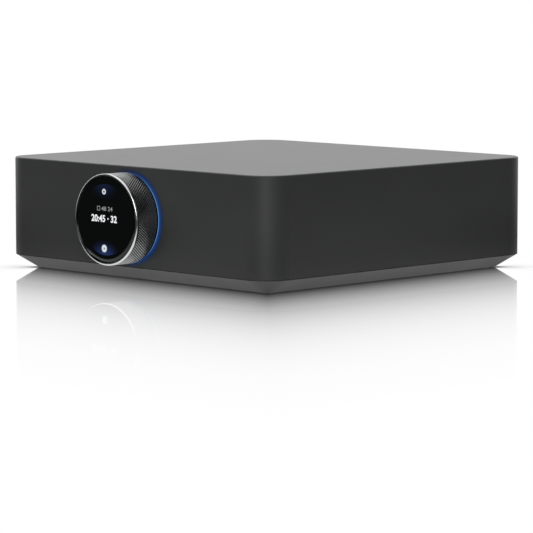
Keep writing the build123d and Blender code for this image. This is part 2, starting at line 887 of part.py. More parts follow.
# Three blades that stand on the inlet's inner face
inlet_floor = panel_out + inlet_flange - inlet_cavity_depth
with BuildPart() as inlet_pins:
    with BuildSketch(rear_plane(inlet_x, inlet_z, inlet_floor)):
        with Locations(
            (-inlet_pin_pitch / 2, -inlet_pin_step / 2),
            (inlet_pin_pitch / 2, -inlet_pin_step / 2),
            (0, inlet_pin_step / 2),
        ):
            Rectangle(inlet_pin_width, inlet_pin_height)
    extrude(amount=inlet_pin_length)
inlet_pins.part.label = "inlet_pins"
export_step(inlet_pins.part, "parts/inlet_pins.step")

# Network socket, with the notch for the plug's latch above its opening
with BuildPart() as ethernet_jack:
    with BuildSketch(rear_plane(ethernet_x, ethernet_z, socket_out)):
        Rectangle(ethernet_width, ethernet_height)
    extrude(amount=-ethernet_depth)
    with BuildSketch(rear_plane(ethernet_x, board_top + ethernet_wall, socket_out)):
        Rectangle(ethernet_cavity_width, ethernet_cavity_height, align=(Align.CENTER, Align.MIN))
        Rectangle(
            ethernet_latch_width,
            ethernet_cavity_height + ethernet_latch_height,
            align=(Align.CENTER, Align.MIN),
        )
    extrude(amount=-ethernet_cavity_depth, mode=Mode.SUBTRACT)
ethernet_jack.part.label = "ethernet_jack"
export_step(ethernet_jack.part, "parts/ethernet_jack.step")

# Picture-and-sound socket: a folded metal shell
with BuildPart() as hdmi_jack:
    with BuildSketch(rear_plane(hdmi_x, hdmi_z, socket_out)) as hdmi_outline:
        Rectangle(hdmi_width, hdmi_height)
        chamfer(hdmi_outline.vertices().group_by(Axis.Y)[0], hdmi_chamfer)
    extrude(amount=-hdmi_depth)
    with BuildSketch(rear_plane(hdmi_x, hdmi_z, socket_out)) as hdmi_opening:
        Rectangle(hdmi_width - 2 * hdmi_wall, hdmi_height - 2 * hdmi_wall)
        chamfer(hdmi_opening.vertices().group_by(Axis.Y)[0], hdmi_chamfer - hdmi_wall / 2)
    extrude(amount=-(hdmi_depth - hdmi_floor), mode=Mode.SUBTRACT)
hdmi_jack.part.label = "hdmi_jack"
export_step(hdmi_jack.part, "parts/hdmi_jack.step")

# Contact tongue inside the metal shell
with BuildPart() as hdmi_tongue:
    with BuildSketch(rear_plane(hdmi_x, hdmi_z, socket_out - hdmi_depth + hdmi_floor)):
        Rectangle(hdmi_tongue_width, hdmi_tongue_thickness)
    extrude(amount=hdmi_tongue_length)
hdmi_tongue.part.label = "hdmi_tongue"
export_step(hdmi_tongue.part, "parts/hdmi_tongue.step")

# Optical socket: a block with a square throat and two small seats for the flap's pin
shutter_top = optical_z + optical_mouth_height / 2 - shutter_clearance
shutter_back = socket_out - shutter_sunk - shutter_thickness
shutter_axis_z = shutter_top - shutter_pin_radius
shutter_axis_out = shutter_back + shutter_pin_radius
with BuildPart() as optical_jack:
    with BuildSketch(rear_plane(optical_x, optical_z, socket_out)):
        Rectangle(optical_width, optical_height)
    extrude(amount=-optical_depth)
    with BuildSketch(rear_plane(optical_x, optical_z, socket_out)):
        Rectangle(optical_mouth_width, optical_mouth_height)
    extrude(amount=-optical_cavity_depth, mode=Mode.SUBTRACT)
    pin_seat = Plane(
        origin=(optical_x, rear_y + shutter_axis_out, shutter_axis_z), x_dir=(0, 1, 0), z_dir=(1, 0, 0)
    )
    with BuildSketch(pin_seat):
        Circle(shutter_pin_radius + running_fit)
    extrude(amount=optical_mouth_width / 2 + shutter_pin_reach, both=True, mode=Mode.SUBTRACT)
optical_jack.part.label = "optical_jack"
export_step(optical_jack.part, "parts/optical_jack.step")

# Sprung flap that closes the optical socket and swings inward about its top edge
with BuildPart() as optical_shutter:
    with BuildSketch(rear_plane(optical_x, shutter_axis_z, shutter_back)):
        Rectangle(
            optical_mouth_width - 2 * shutter_clearance,
            shutter_axis_z - (optical_z - optical_mouth_height / 2) - shutter_clearance,
            align=(Align.CENTER, Align.MAX),
        )
    extrude(amount=shutter_thickness)
    with BuildSketch(pin_seat):
        Circle(shutter_pin_radius)
    extrude(amount=optical_mouth_width / 2 + shutter_pin_reach - shutter_clearance, both=True)
optical_shutter.part.label = "optical_shutter"
export_step(optical_shutter.part, "parts/optical_shutter.step")

# Phono socket block on the main board, behind the panel
with BuildPart() as phono_block:
    with BuildSketch(rear_plane(phono_x, phono_z, -case_wall)):
        Rectangle(phono_pitch + 2 * phono_block_border, phono_pitch + 2 * phono_block_border)
    extrude(amount=-phono_block_depth)
phono_block.part.label = "phono_block"
export_step(phono_block.part, "parts/phono_block.step")

# Plated outer sleeves of the phono sockets
with BuildPart() as phono_sleeves:
    with BuildSketch(rear_plane(phono_x, phono_z, -case_wall)):
        with GridLocations(phono_pitch, phono_pitch, 2, 2):
            Circle(phono_radius)
            Circle(phono_bore, mode=Mode.SUBTRACT)
    extrude(amount=phono_length)
phono_sleeves.part.label = "phono_sleeves"
export_step(phono_sleeves.part, "parts/phono_sleeves.step")

# Coloured inserts of the phono sockets, with the hole for the plug's pin
with BuildPart() as phono_inserts:
    with BuildSketch(rear_plane(phono_x, phono_z, -case_wall)):
        with GridLocations(phono_pitch, phono_pitch, 2, 2):
            Circle(phono_bore)
            Circle(phono_pin_bore, mode=Mode.SUBTRACT)
    extrude(amount=phono_insert_length)
phono_inserts.part.label = "phono_inserts"
export_step(phono_inserts.part, "parts/phono_inserts.step")

# Setup button: a short plunger kept behind the panel by its collar
with BuildPart() as setup_button:
    with BuildSketch(rear_plane(button_x, button_z, socket_out)):
        Circle(button_radius)
    extrude(amount=-button_length)
    with BuildSketch(rear_plane(button_x, button_z, -case_wall - button_travel)):
        Circle(button_collar_radius)
    extrude(amount=-button_collar)
setup_button.part.label = "setup_button"
export_step(setup_button.part, "parts/setup_button.step")

# Switch that the setup button presses
with BuildPart() as setup_switch:
    with BuildSketch(rear_plane(button_x, board_top, socket_out - button_length - button_travel)):
        Rectangle(button_switch_width, button_switch_height, align=(Align.CENTER, Align.MIN))
    extrude(amount=-button_switch_depth)
setup_switch.part.label = "setup_switch"
export_step(setup_switch.part, "parts/setup_switch.step")

# Insulating plate that carries the four loudspeaker terminals
with BuildPart() as terminal_plate:
    with BuildSketch(rear_plane(terminal_x, face_middle, panel_out)):
        RectangleRounded(
            terminal_column_pitch + 2 * terminal_plate_border,
            terminal_row_pitch + 2 * terminal_plate_border,
            window_radius,
        )
        with GridLocations(terminal_column_pitch, terminal_row_pitch, 2, 2):
            Circle(stud_radius + stud_clearance, mode=Mode.SUBTRACT)
    extrude(amount=terminal_plate_thickness)
terminal_plate.part.label = "terminal_plate"
export_step(terminal_plate.part, "parts/terminal_plate.step")

# Plated studs with their plug bores
stud_out = panel_out + terminal_plate_thickness + stud_reach
with BuildPart() as terminal_studs:
    with BuildSketch(rear_plane(terminal_x, face_middle, stud_out)):
        with GridLocations(terminal_column_pitch, terminal_row_pitch, 2, 2):
            Circle(stud_radius)
    extrude(amount=-(stud_out + case_wall + stud_tail))
    with BuildSketch(rear_plane(terminal_x, face_middle, stud_out)):
        with GridLocations(terminal_column_pitch, terminal_row_pitch, 2, 2):
            Circle(stud_bore)
    extrude(amount=-stud_bore_depth, mode=Mode.SUBTRACT)
terminal_studs.part.label = "terminal_studs"
export_step(terminal_studs.part, "parts/terminal_studs.step")

# Nuts that hold the studs from inside
with BuildPart() as terminal_nuts:
    with BuildSketch(rear_plane(terminal_x, face_middle, -case_wall)):
        with GridLocations(terminal_column_pitch, terminal_row_pitch, 2, 2):
            RegularPolygon(nut_across_corners / 2, 6)
            Circle(stud_radius + stud_clearance, mode=Mode.SUBTRACT)
    extrude(amount=-nut_thickness)
terminal_nuts.part.label = "terminal_nuts"
export_step(terminal_nuts.part, "parts/terminal_nuts.step")

# Each terminal's clamp washer slides on its stud, and the cap turns on the washer
terminal_places = {
    "left_plus": (terminal_x - terminal_column_pitch / 2, face_middle + terminal_row_pitch / 2),
    "left_minus": (terminal_x - terminal_column_pitch / 2, face_middle - terminal_row_pitch / 2),
    "right_plus": (terminal_x + terminal_column_pitch / 2, face_middle + terminal_row_pitch / 2),
    "right_minus": (terminal_x + terminal_column_pitch / 2, face_middle - terminal_row_pitch / 2),
}
washer_out = panel_out + terminal_plate_thickness
cap_out = washer_out + washer_thickness
for name, (x, z) in terminal_places.items():
    with BuildPart() as clamp_washer:
        with BuildSketch(rear_plane(x, z, washer_out)):
            Circle(washer_radius)
            Circle(stud_radius + cap_clearance, mode=Mode.SUBTRACT)
        extrude(amount=washer_thickness)
    clamp_washer.part.label = f"{name}_washer"
    export_step(clamp_washer.part, f"parts/{name}_washer.step")
    with BuildPart() as terminal_cap:
        with BuildSketch(rear_plane(x, z, cap_out)):
            RegularPolygon(cap_radius, cap_sides)
        extrude(amount=cap_length)
        chamfer(terminal_cap.faces().sort_by(Axis.Y)[-1].edges(), cap_chamfer)
        with BuildSketch(rear_plane(x, z, cap_out)):
            Circle(stud_radius + cap_clearance)
        extrude(amount=cap_length, mode=Mode.SUBTRACT)
    terminal_cap.part.label = f"{name}_cap"
    export_step(terminal_cap.part, f"parts/{name}_cap.step")

# Extruded heatsink with upright fins along the case
fin_pitch = (heatsink_width - heatsink_fin) / (heatsink_fin_count - 1)
with BuildPart() as heatsink:
    with BuildSketch(level(board_top + amplifier_chip_height)):
        with Locations((amplifier_x, heatsink_y)):
            Rectangle(heatsink_width, heatsink_length)
    extrude(amount=heatsink_base)
    with BuildSketch(level(board_top + amplifier_chip_height + heatsink_base)):
        with Locations((amplifier_x, heatsink_y)):
            with GridLocations(fin_pitch, 1, heatsink_fin_count, 1):
                Rectangle(heatsink_fin, heatsink_length)
    extrude(amount=heatsink_fin_height)
heatsink.part.label = "heatsink"
export_step(heatsink.part, "parts/heatsink.step")

# Shielded output inductors
with BuildPart() as output_inductors:
    with BuildSketch(level(board_top)):
        with Locations((amplifier_x, inductor_y)):
            with GridLocations(inductor_pitch, inductor_pitch, 2, 2):
                Rectangle(inductor_size, inductor_size)
    extrude(amount=inductor_height)
    chamfer(output_inductors.edges().filter_by(Axis.Z), edge_break * 2)
output_inductors.part.label = "output_inductors"
export_step(output_inductors.part, "parts/output_inductors.step")

# Ferrite frame of the transformer
transformer_z = board_top + core_height / 2
transformer_plane = rear_plane(transformer_x, transformer_z, transformer_y - rear_y)
with BuildPart() as transformer_core:
    with BuildSketch(transformer_plane):
        Rectangle(core_width, core_height)
        Rectangle(core_width - 2 * core_limb, core_height - 2 * core_limb, mode=Mode.SUBTRACT)
    extrude(amount=core_depth / 2, both=True)
transformer_core.part.label = "transformer_core"
export_step(transformer_core.part, "parts/transformer_core.step")

# Taped winding through the ferrite frame
with BuildPart() as transformer_winding:
    with BuildSketch(transformer_plane):
        RectangleRounded(core_width - 2 * core_limb, core_height - 2 * core_limb, core_limb / 2)
    extrude(amount=winding_depth / 2, both=True)
transformer_winding.part.label = "transformer_winding"
export_step(transformer_winding.part, "parts/transformer_winding.step")

# Folded cooling plate that stands beside the transformer
with BuildPart() as cooling_plate:
    with BuildSketch(level(board_top)):
        with Locations((cooling_plate_x, cooling_plate_y)):
            Rectangle(cooling_plate_foot, cooling_plate_length)
    extrude(amount=cooling_plate_thickness)
    with BuildSketch(level(board_top)):
        with Locations((cooling_plate_x - (cooling_plate_foot - cooling_plate_thickness) / 2, cooling_plate_y)):
            Rectangle(cooling_plate_thickness, cooling_plate_length)
    extrude(amount=cooling_plate_height)
cooling_plate.part.label = "cooling_plate"
export_step(cooling_plate.part, "parts/cooling_plate.step")

# Power transistors clamped flat on the cooling plate
transistor_x = cooling_plate_x - (cooling_plate_foot - transistor_thickness) / 2 + cooling_plate_thickness
with BuildPart() as power_transistors:
    with BuildSketch(level(board_top + cooling_plate_thickness)):
        with Locations((transistor_x, cooling_plate_y)):
            with GridLocations(1, transistor_pitch, 1, 2):
                Rectangle(transistor_thickness, transistor_width)
    extrude(amount=transistor_height)
power_transistors.part.label = "power_transistors"
export_step(power_transistors.part, "parts/power_transistors.step")

# Mains choke: a square ferrite frame
with BuildPart() as mains_choke:
    with BuildSketch(level(board_top)):
        with Locations((power_x, choke_y)):
            Rectangle(choke_size, choke_size)
            Rectangle(choke_size - 2 * choke_limb, choke_size - 2 * choke_limb, mode=Mode.SUBTRACT)
    extrude(amount=choke_height)
mains_choke.part.label = "mains_choke"
export_step(mains_choke.part, "parts/mains_choke.step")

# Mains fuse, lying on the power board
fuse_z = board_top + fuse_radius
with BuildPart() as mains_fuse:
    with BuildSketch(rear_plane(power_x, fuse_z, fuse_y - rear_y)):
        Circle(fuse_radius)
    extrude(amount=fuse_length / 2, both=True)
mains_fuse.part.label = "mains_fuse"
export_step(mains_fuse.part, "parts/mains_fuse.step")

# Shielded network module on the main board
with BuildPart() as network_module:
    with BuildSketch(level(board_top)):
        with Locations((main_x - chip_pitch, module_y)):
            Rectangle(module_width, module_depth)
    extrude(amount=module_height)
    chamfer(network_module.edges().group_by(Axis.Z)[-1], edge_break)
network_module.part.label = "network_module"
export_step(network_module.part, "parts/network_module.step")

# Connector blocks that bridge the gaps between the boards
with BuildPart() as board_links:
    with BuildSketch(level(board_top)):
        with Locations((main_left - board_gap / 2, link_y), (main_right + board_gap / 2, link_y)):
            Rectangle(link_width, link_length)
    extrude(amount=link_height)
board_links.part.label = "board_links"
export_step(board_links.part, "parts/board_links.step")

# Two antenna strips on the inner side of the rear panel
with BuildPart() as antenna_strips:
    with BuildSketch(rear_plane(antenna_x, face_middle + antenna_rise, -case_wall)):
        with GridLocations(antenna_pitch, 1, 2, 1):
            Rectangle(antenna_width, antenna_height)
    extrude(amount=-antenna_thickness)
antenna_strips.part.label = "antenna_strips"
export_step(antenna_strips.part, "parts/antenna_strips.step")

# Chips: two under the heatsink, a processor, three small ones and the dial's two turning sensors
with BuildPart() as circuit_chips:
    with BuildSketch(level(board_top)):
        with Locations((amplifier_x, heatsink_y)):
            with GridLocations(1, amplifier_chip_pitch, 1, 2):
                Rectangle(amplifier_chip_size, amplifier_chip_size)
    extrude(amount=amplifier_chip_height)
    with BuildSketch(level(board_top)):
        with Locations((main_x + chip_pitch / 2, module_y)):
            Rectangle(processor_size, processor_size)
    extrude(amount=processor_height)
    with BuildSketch(level(board_top)):
        with Locations((main_x, chip_y)):
            with GridLocations(chip_pitch, 1, 3, 1):
                Rectangle(chip_size, chip_size)
    extrude(amount=chip_height)
    with BuildSketch(front_plane(led_board_thickness)):
        with PolarLocations(lamp_circle, 2, start_angle=180 / led_count, angular_range=90, endpoint=True):
            Rectangle(led_size, led_size)
    extrude(amount=led_height)
circuit_chips.part.label = "circuit_chips"
export_step(circuit_chips.part, "parts/circuit_chips.step")

# Capacitors: two for the mains, four low-voltage, six small ones and four film ones
with BuildPart() as board_capacitors:
    with BuildSketch(level(board_top)):
        with Locations((power_x, bulk_capacitor_y)):
            with GridLocations(1, bulk_capacitor_pitch, 1, 2):
                Circle(bulk_capacitor_radius)
    extrude(amount=bulk_capacitor_height)
    with BuildSketch(level(board_top)):
        with Locations((output_capacitor_x, transformer_y)):
            with GridLocations(output_capacitor_pitch, output_capacitor_pitch, 2, 2):
                Circle(output_capacitor_radius)
    extrude(amount=output_capacitor_height)
    with BuildSketch(level(board_top)):
        with Locations((main_x, small_capacitor_y)):
            with GridLocations(small_capacitor_pitch, 1, small_capacitor_count, 1):
                Circle(small_capacitor_radius)
    extrude(amount=small_capacitor_height)
    with BuildSketch(level(board_top)):
        with Locations((amplifier_x, film_capacitor_y)):
            with GridLocations(inductor_pitch, film_capacitor_depth + board_gap, 2, 2):
                Rectangle(film_capacitor_width, film_capacitor_depth)
    extrude(amount=film_capacitor_height)
board_capacitors.part.label = "board_capacitors"
export_step(board_capacitors.part, "parts/board_capacitors.step")
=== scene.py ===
from math import atan2, cos, pi, radians, sin, tau

import bmesh
import bpy
from mathutils import Matrix, Vector


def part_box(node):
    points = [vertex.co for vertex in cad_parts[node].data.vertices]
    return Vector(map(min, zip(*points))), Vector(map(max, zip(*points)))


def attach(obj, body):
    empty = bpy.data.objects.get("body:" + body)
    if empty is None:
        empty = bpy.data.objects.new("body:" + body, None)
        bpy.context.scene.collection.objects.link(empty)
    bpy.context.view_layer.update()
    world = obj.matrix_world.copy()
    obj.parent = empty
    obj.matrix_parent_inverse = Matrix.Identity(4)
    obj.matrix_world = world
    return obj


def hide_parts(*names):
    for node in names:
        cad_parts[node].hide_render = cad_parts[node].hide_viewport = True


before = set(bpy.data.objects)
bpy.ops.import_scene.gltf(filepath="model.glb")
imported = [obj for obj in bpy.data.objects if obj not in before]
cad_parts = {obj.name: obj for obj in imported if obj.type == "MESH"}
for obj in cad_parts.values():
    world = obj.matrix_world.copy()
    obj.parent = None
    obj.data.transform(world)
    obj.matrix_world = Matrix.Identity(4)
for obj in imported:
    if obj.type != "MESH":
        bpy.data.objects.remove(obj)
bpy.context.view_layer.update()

millimetre = 0.001

# Dial, measured along its axis ahead of the case's front face
face_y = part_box("housing_shell")[0].y
grip_low, grip_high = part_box("dial_grip")
trim_low, trim_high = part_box("dial_trim")
glass_low, glass_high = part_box("cover_glass")
ring_low, ring_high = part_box("light_ring")
dial_z = (grip_low.z + grip_high.z) / 2
grip_radius = (grip_high.x - grip_low.x) / 2
grip_back = face_y - grip_high.y
grip_front = face_y - grip_low.y
glass_radius = (glass_high.x - glass_low.x) / 2
glass_back = face_y - glass_high.y
glass_front = face_y - glass_low.y
ring_radius = (ring_high.x - ring_low.x) / 2
grip_bore = glass_radius + 0.3 * millimetre
recess_radius = 23.6 * millimetre
recess_front = 6.4 * millimetre
web_front = 13.5 * millimetre
bushing_radius = 18.65 * millimetre

# Case: a painted glow of the blue light, spilling from inside the light ring's edge to beyond it, with
# painted shade there, and painted shade darkening its foot
spill_inside = 0.8 * millimetre
spill_outside = 3.2 * millimetre
dark_below = 8 * millimetre
even_above = 46 * millimetre

# Middle of what the display shows, and the radius that it lights
sight = -1.4 * millimetre
lit_radius = 20.3 * millimetre

# What the display shows: a ring above, a disc with a dot below, and a glow from beyond each
ring_height = 15.8 * millimetre
ring_outer = 1.6 * millimetre
ring_inner = 0.65 * millimetre
disc_height = -16.3 * millimetre
disc_radius = 2.15 * millimetre
dot_radius = 0.5 * millimetre
upper_glow_height = 20.0 * millimetre
lower_glow_height = -20.5 * millimetre
glow_reach = 9.5 * millimetre
glow_squeeze = 0.72
figure_lift = 0.02 * millimetre

# Figures and the small square on it, each by its place from the middle
clock_size = (21.2 * millimetre, 4.0 * millimetre)
clock_weight = 0.11 * millimetre
clock_height = 0.6 * millimetre
level_size = (9.2 * millimetre, 2.4 * millimetre)
level_weight = 0.02 * millimetre
level_aside = 2.4 * millimetre
level_height = 6.2 * millimetre
square_aside = -4.6 * millimetre
square_half = 1.25 * millimetre
square_line = 0.5 * millimetre

# Knurl, between a plain collar at the back and a narrow neck
knurl_starts = 110
knurl_rows = 14
knurl_depth = 0.22 * millimetre
collar_width = 2.2 * millimetre
neck_width = 0.5 * millimetre
land_drop = 0.45 * millimetre
collar_break = 0.8 * millimetre

# Lip: rounded on its outer edge
lip_bend = 0.75 * millimetre
lip_steps = 8
lip_turns = 192

# Screws of the rear panel, and of the plinth: head, shaft and hexagonal recess
panel_head = 2.3 * millimetre
panel_head_height = 1.4 * millimetre
panel_head_break = 0.35 * millimetre
panel_shaft = 1.25 * millimetre
panel_recess = 1.15 * millimetre
panel_recess_depth = 0.9 * millimetre
base_head = 2.8 * millimetre
base_head_height = 1.3 * millimetre
base_shaft = 1.5 * millimetre
base_recess = 1.3 * millimetre
base_recess_depth = 1.0 * millimetre
recess_sides = 6
ring_points = 24

# Throat of the network socket: its middle, in from the mouth and up from the foot, and its half sizes
throat_depth = 7.25 * millimetre
throat_height = 6.2 * millimetre
throat_half = (5.95 * millimetre, 7.0 * millimetre, 4.65 * millimetre)

# Contacts: springs in the network socket, flat ones on the picture socket's tongue
network_count = 8
network_pitch = 1.02 * millimetre
network_half = 0.2 * millimetre
network_throat = 13.9 * millimetre
network_wall = 1.6 * millimetre
network_reach = 10.5 * millimetre
network_rise = 3.0 * millimetre
network_sink = 0.1 * millimetre
network_height = 0.3 * millimetre
picture_pitch = 1.0 * millimetre
picture_half = 0.25 * millimetre
picture_rise = 0.05 * millimetre
picture_back = 0.5 * millimetre
picture_front = 0.6 * millimetre

# Cover glass: flat in the middle, with a wide bevel round it
glass_flat = 22.3 * millimetre
glass_fall = 0.3 * millimetre
glass_steps = 160


# Finishes

class Level:
    """A shader value: each sign in an expression adds its Math node."""

    def __init__(self, finish, socket):
        self.finish = finish
        self.socket = socket

    def __add__(self, other):
        return self.finish.math("ADD", self, other)

    def __sub__(self, other):
        return self.finish.math("SUBTRACT", self, other)

    def __rsub__(self, other):
        return self.finish.math("SUBTRACT", other, self)

    def __mul__(self, other):
        return self.finish.math("MULTIPLY", self, other)

    def __pow__(self, other):
        return self.finish.math("POWER", self, other)

    def fade(self, start, end, to_start=0.0, to_end=1.0):
        """The value carried from one range to another, held at its ends."""
        return self.finish.node(
            "ShaderNodeMapRange",
            {"interpolation_type": "SMOOTHSTEP"},
            {"Value": self, "From Min": start, "From Max": end, "To Min": to_start, "To Max": to_end},
        )


class Finish:
    """A material, or the world, whose nodes are written as expressions."""

    def __init__(self, owner):
        owner.use_nodes = True
        self.owner = owner
        self.nodes = owner.node_tree.nodes
        self.links = owner.node_tree.links
        self.nodes.clear()

    def node(self, kind, settings=None, sockets=None, output=0):
        made = self.nodes.new(kind)
        for key, value in (settings or {}).items():
            setattr(made, key, value)
        for key, value in (sockets or {}).items():
            if isinstance(value, Level):
                self.links.new(value.socket, made.inputs[key])
            else:
                made.inputs[key].default_value = value
        return Level(self, made.outputs[output])

    def place(self, stretch=(1.0, 1.0, 1.0), centre=(0.0, 0.0, 0.0)):
        """Object coordinates about a centre, stretched by a factor along each axis."""
        coordinates = self.node("ShaderNodeTexCoord", output="Object")
        moved = self.vector("SUBTRACT", coordinates, centre)
        return self.node("ShaderNodeMapping", None, {"Vector": moved, "Scale": stretch})

    def math(self, operation, first, second=0.0):
        return self.node("ShaderNodeMath", {"operation": operation}, {0: first, 1: second})

    def vector(self, operation, first, second, output=0):
        return self.node("ShaderNodeVectorMath", {"operation": operation}, {0: first, 1: second}, output)

    def along(self, place, axis):
        return self.node("ShaderNodeSeparateXYZ", None, {0: place}, axis)

    def from_axis(self, place):
        """How far a place lies from the dial's axis, where it is given from the dial's middle."""
        flat = self.vector("MULTIPLY", place, (1.0, 0.0, 1.0))
        return self.vector("LENGTH", flat, (0.0, 0.0, 0.0), "Value")

    def noise(self, size, detail=2.0, stretch=(1.0, 1.0, 1.0)):
        """Cloudy noise whose patches are about this size in metres."""
        sockets = {"Vector": self.place(stretch), "Scale": 1 / size, "Detail": detail, "Roughness": 0.5}
        return self.node("ShaderNodeTexNoise", None, sockets)

    def cells(self, size, feature, stretch):
        """Distances in cells about this size in metres."""
        sockets = {"Vector": self.place(stretch), "Scale": 1 / size}
        return self.node("ShaderNodeTexVoronoi", {"feature": feature}, sockets, "Distance")

    def tint(self, amount, first, second):
        """A colour carried from one to another; plain ones are given as red, green and blue."""
        ends = [(*colour, 1.0) if isinstance(colour, tuple) else colour for colour in (first, second)]
        return self.node("ShaderNodeMix", {"data_type": "RGBA"}, {0: amount, 6: ends[0], 7: ends[1]}, 2)

    def blend(self, amount, first, second):
        """A vector carried from one to another, brought back to unit length."""
        mixed = self.node("ShaderNodeMix", {"data_type": "VECTOR"}, {0: amount, 4: first, 5: second}, 1)
        return self.vector("NORMALIZE", mixed, (0.0, 0.0, 0.0))

    def bump(self, height, depth, strength=1.0):
        return self.node("ShaderNodeBump", None, {"Height": height, "Distance": depth, "Strength": strength})

    def plain_colour(self, value):
        """A grey from one value."""
        return self.node("ShaderNodeCombineColor", None, {0: value, 1: value, 2: value})

    def ray(self, kind):
        return self.node("ShaderNodeLightPath", output=kind)

    def glowing(self, colour):
        return self.node("ShaderNodeEmission", None, {"Color": colour, "Strength": 1.0})

    def mix(self, amount, first, second):
        """One shader carried to another."""
        return self.node("ShaderNodeMixShader", None, {0: amount, 1: first, 2: second})

    def surface(self, sockets):
        shader = self.node("ShaderNodeBsdfPrincipled", None, sockets)
        self.output(shader)

    def output(self, shader):
        kind = "World" if isinstance(self.owner, bpy.types.World) else "Material"
        end = self.nodes.new("ShaderNodeOutput" + kind)
        self.links.new(shader.socket, end.inputs["Surface"])


def finish(name):
    return Finish(bpy.data.materials.new(name))


def grey(value):
    return (value, value, value)


def grained(name, dark, light, grain, depth, roughness, spread=0.04, **constants):
    """A plain finish: fine grain in its height, slow clouds in its colour and gloss."""
    made = finish(name)
    fine = made.noise(grain, 2.0)
    cloud = made.noise(grain * 60, 3.0)
    speck = made.noise(grain * 4, 1.0)
    mixed = cloud * 0.6 + speck * 0.4
    made.surface({
        "Base Color": made.tint(mixed.fade(0.3, 0.7), dark, light),
        "Roughness": mixed.fade(0.25, 0.75, roughness - spread, roughness + spread),
        "Normal": made.bump(fine, depth),
        **{key.replace("_", " "): value for key, value in constants.items()},
    })
    return made.owner


# Case: bead-blasted and anodised, with painted shade darkening its foot, and round the dial a painted glow of
# the blue light, brightest on the right, over painted shade
def case_aluminium():
    made = finish("case_aluminium")
    grain = made.noise(0.22 * millimetre, 2.0)
    cloud = made.noise(35 * millimetre, 3.0)
    place = made.place(centre=(0.0, 0.0, dial_z))
    radius = made.from_axis(place)
    spill = radius.fade(ring_radius - spill_inside, ring_radius + spill_outside, 1.0, 0.0)
    front = made.along(place, 1).fade(face_y + 0.2 * millimetre, face_y + 0.6 * millimetre, 1.0, 0.0)
    # Painted light: the blue glow is painted brighter towards the right
    side = made.along(place, 0).fade(-12 * millimetre, 24 * millimetre, 0.3, 1.0)
    # Painted shade: the face's colour darkens round the light ring
    shade = spill * front * 0.8
    # Painted shade: the colour darkens towards the case's foot
    level = made.along(made.place(), 2).fade(dark_below, even_above)
    upper = made.tint(cloud.fade(0.3, 0.7), (0.060, 0.0615, 0.0610), (0.063, 0.0645, 0.0640))
    plain = made.tint(level, (0.040, 0.041, 0.0405), upper)
    made.surface({
        "Base Color": made.tint(shade, plain, (0.0, 0.0, 0.0)),
        "Metallic": 0.35,
        "Roughness": cloud.fade(0.3, 0.7, 0.415, 0.425),
        "Specular IOR Level": 0.42,
        "Normal": made.bump(grain, 0.012 * millimetre, 0.5),
        # Painted light: the blue glow on the face is painted in its emission
        "Emission Color": made.tint(spill * front * side, (0.0, 0.0, 0.0), (0.002, 0.026, 0.118)),
        "Emission Strength": 1.0,
    })
    return made.owner


# Dial: turned and dark anodised metal with faint turning lines, darker in the knurl's grooves and bright on
# its points
def dial_aluminium():
    made = finish("dial_aluminium")
    lines = made.noise(0.9 * millimetre, 2.0, stretch=(1.0, 9.0, 1.0))
    fine = made.noise(0.12 * millimetre, 1.0)
    place = made.place(centre=(0.0, 0.0, dial_z))
    radius = made.from_axis(place)
    on_knurl_points = radius.fade(grip_radius - 0.24 * millimetre, grip_radius - 0.02 * millimetre)
    point_metal = made.tint(lines.fade(0.3, 0.7), (0.56, 0.563, 0.568), (0.64, 0.643, 0.648))
    made.surface({
        "Base Color": made.tint(on_knurl_points, (0.010, 0.011, 0.013), point_metal),
        "Metallic": 1.0,
        "Roughness": lines.fade(0.3, 0.7, 0.14, 0.20),
        "Normal": made.bump(fine, 0.006 * millimetre, 0.5),
    })
    return made.owner


def polished_lip():
    made = finish("polished_lip")
    lines = made.noise(0.4 * millimetre, 1.0)
    made.surface({
        "Base Color": made.tint(lines, (0.72, 0.73, 0.74), (0.82, 0.83, 0.84)),
        "Metallic": 1.0,
        "Roughness": lines.fade(0.3, 0.7, 0.10, 0.18),
        "Normal": made.bump(lines, 0.002 * millimetre, 0.4),
    })
    return made.owner


